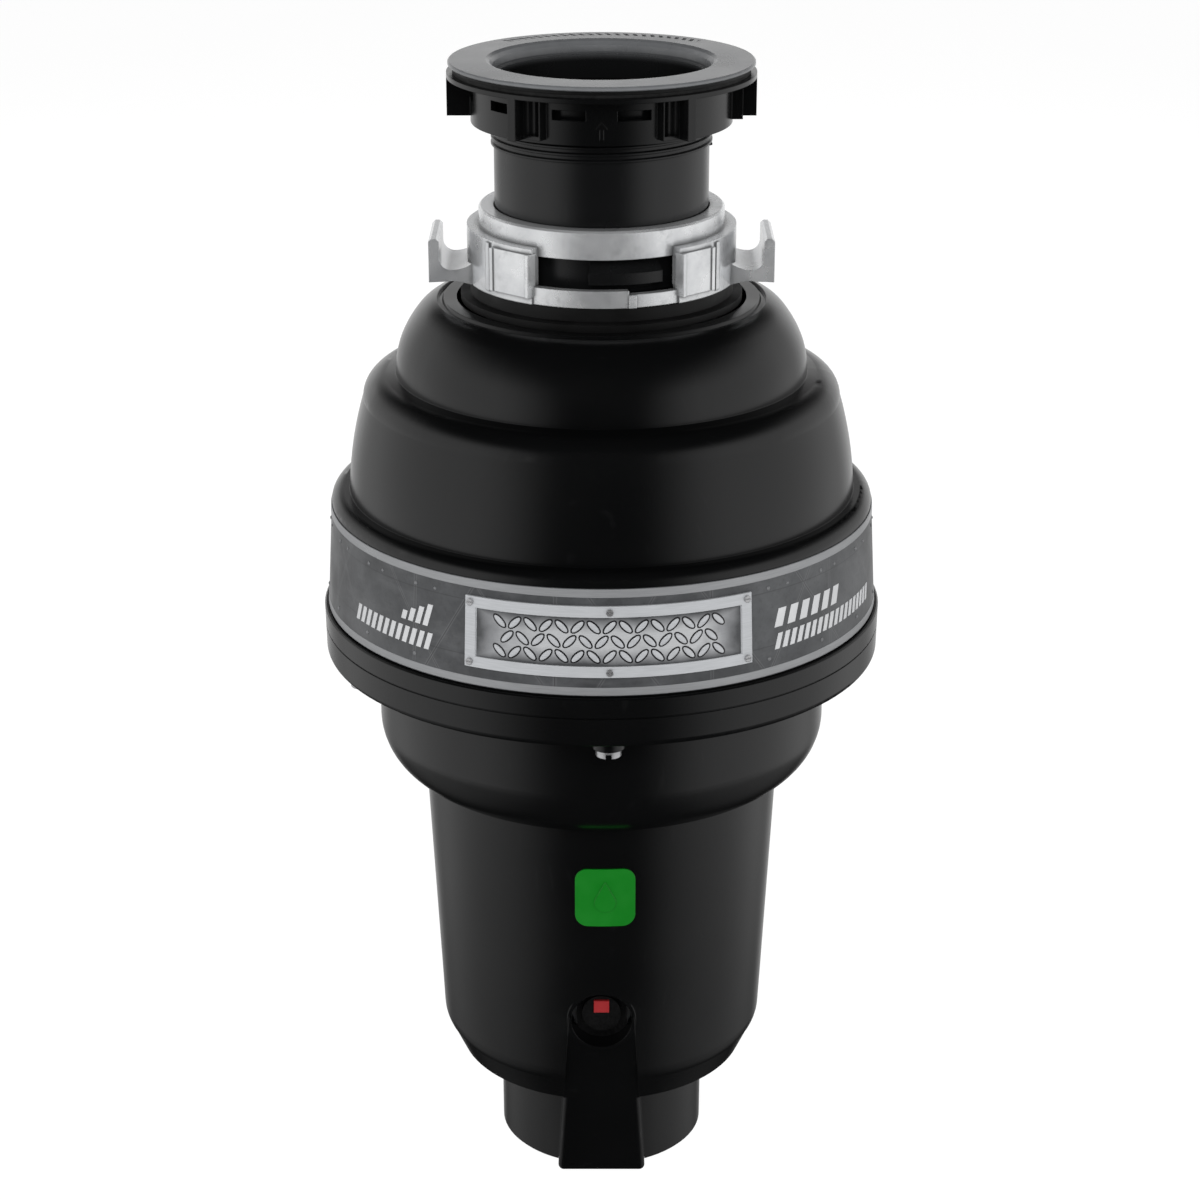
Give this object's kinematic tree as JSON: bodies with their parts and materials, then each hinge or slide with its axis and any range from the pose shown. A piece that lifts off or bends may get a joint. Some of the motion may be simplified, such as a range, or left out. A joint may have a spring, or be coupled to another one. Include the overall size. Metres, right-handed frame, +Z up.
{
  "type": "kitchen garbage disposal",
  "caption": "Continuous-feed kitchen waste disposer with a twist-lock sink mount, a three-tier upper shell, a side outlet and a slim motor cover.",
  "frame": {"origin": "middle of the flat underside of the base, on the rotor's axis", "axes": "+Z up along the rotor's axis towards the sink; -Y faces the front, with the reset button and nameplate; +Y is the way out of the discharge outlet"},
  "size_m": [0.219, 0.2265, 0.45],
  "materials": {
    "black_plastic": "moulded, semi-gloss black",
    "flange_plastic": "moulded, satin black",
    "rubber": "soft moulded rubber",
    "fibre": "compressed black fibre washer",
    "cast_zinc": "die-cast, satin, lightly mottled",
    "cast_aluminium": "die-cast, as cast",
    "stainless": "stamped stainless steel",
    "nickel_cast": "cast nickel-chrome iron",
    "screw_steel": "bright plated",
    "motor_steel": "zinc-dipped sheet",
    "lamination_steel": "stacked electrical steel",
    "copper": "enamelled or bare copper",
    "carbon": "carbon",
    "ferrite": "sintered ferrite",
    "moulded_grey": "glass-filled nylon",
    "label_foil": "printed metal-look band with scratches and rivets",
    "plate_steel": "brushed nameplate frame",
    "green_label": "glossy green",
    "green_steel": "green ground screw",
    "red_plastic": "moulded red",
    "wire_insulation": "insulated wire",
    "foam": "moulded sound liner"
  },
  "bodies": {
    "housing": {"sink_flange": "flange_plastic", "sink_gasket": "rubber", "cushion_mount": "rubber", "upper_shell": "black_plastic", "label_band": "label_foil", "nameplate": "plate_steel", "nameplate_screws": "screw_steel", "trim_ring": "black_plastic", "trim_screws": "screw_steel", "lower_cover": "black_plastic", "green_badge": "green_label", "terminal_cover": "black_plastic", "terminal_screws": "screw_steel", "hopper": "moulded_grey", "inlet_knockout": "moulded_grey", "chamber_gasket": "rubber", "chamber_bolts": "screw_steel", "drain_chamber": "cast_aluminium", "shredder_ring": "nickel_cast", "shaft_seal": "rubber", "upper_bearing": "copper", "lower_bearing": "copper", "motor_can": "motor_steel", "magnets": "ferrite", "brush_card": "moulded_grey", "brush_spring_right": "screw_steel", "brush_spring_left": "screw_steel", "end_bell": "cast_aluminium", "tie_bolts": "screw_steel", "overload_protector": "carbon", "rectifier": "carbon", "terminal_block": "wire_insulation", "ground_screw": "green_steel", "motor_leads": "wire_insulation", "upper_liner": "foam", "lower_liner": "foam"},
    "slip_washer": {"slip_washer": "fibre"},
    "mounting_nut": {"mounting_nut": "black_plastic"},
    "mounting_ring": {"mounting_ring": "cast_zinc"},
    "splash_guard": {"splash_guard": "rubber"},
    "rotor": {"shaft": "motor_steel", "grind_plate": "stainless", "plate_nut": "stainless", "impeller_pins": "stainless", "slinger": "rubber", "armature_core": "lamination_steel", "windings": "copper", "commutator": "copper"},
    "impeller_right": {"swivel_impeller_right": "stainless"},
    "impeller_left": {"swivel_impeller_left": "stainless"},
    "reset_button": {"reset_button": "red_plastic"},
    "brush_right": {"brush_right": "carbon"},
    "brush_left": {"brush_left": "carbon"}
  },
  "joints": [
    {"name": "ring_twist", "type": "hinge", "parent": "housing", "child": "mounting_ring", "pos_m": [0, 0, 0.3775], "axis": [0, 0, 1], "range_deg": [0, 22]},
    {"name": "nut_slide", "type": "slide", "parent": "housing", "child": "slip_washer", "axis": [0, 0, -1], "range_m": [0, 0.005]},
    {"name": "nut_turn", "type": "hinge", "parent": "slip_washer", "child": "mounting_nut", "pos_m": [0, 0, 0.436], "axis": [0, 0, 1], "range_deg": [-720, 0]},
    {"name": "splash_guard_lift", "type": "slide", "parent": "housing", "child": "splash_guard", "axis": [0, 0, 1], "range_m": [0, 0.045]},
    {"name": "rotor_spin", "type": "hinge", "parent": "housing", "child": "rotor", "pos_m": [0, 0, 0.2], "axis": [0, 0, 1], "continuous": true},
    {"name": "impeller_right_swivel", "type": "hinge", "parent": "rotor", "child": "impeller_right", "pos_m": [0.05, 0, 0.25], "axis": [0, 0, 1], "continuous": true},
    {"name": "impeller_left_swivel", "type": "hinge", "parent": "rotor", "child": "impeller_left", "pos_m": [-0.05, 0, 0.25], "axis": [0, 0, 1], "continuous": true},
    {"name": "reset_button_trip", "type": "slide", "parent": "housing", "child": "reset_button", "axis": [0, -1, 0], "range_m": [0, 0.003]},
    {"name": "brush_right_slide", "type": "slide", "parent": "housing", "child": "brush_right", "axis": [1, 0, 0], "range_m": [0, 0.005], "stiffness_N_per_m": 200, "springref_m": -0.008, "deforming": ["brush_spring_right"]},
    {"name": "brush_left_slide", "type": "slide", "parent": "housing", "child": "brush_left", "axis": [-1, 0, 0], "range_m": [0, 0.005], "stiffness_N_per_m": 200, "springref_m": -0.008, "deforming": ["brush_spring_left"]}
  ],
  "couplings": [
    {"joint": "nut_slide", "follows": "nut_turn", "m_per_rad": -0.00039789}
  ]
}
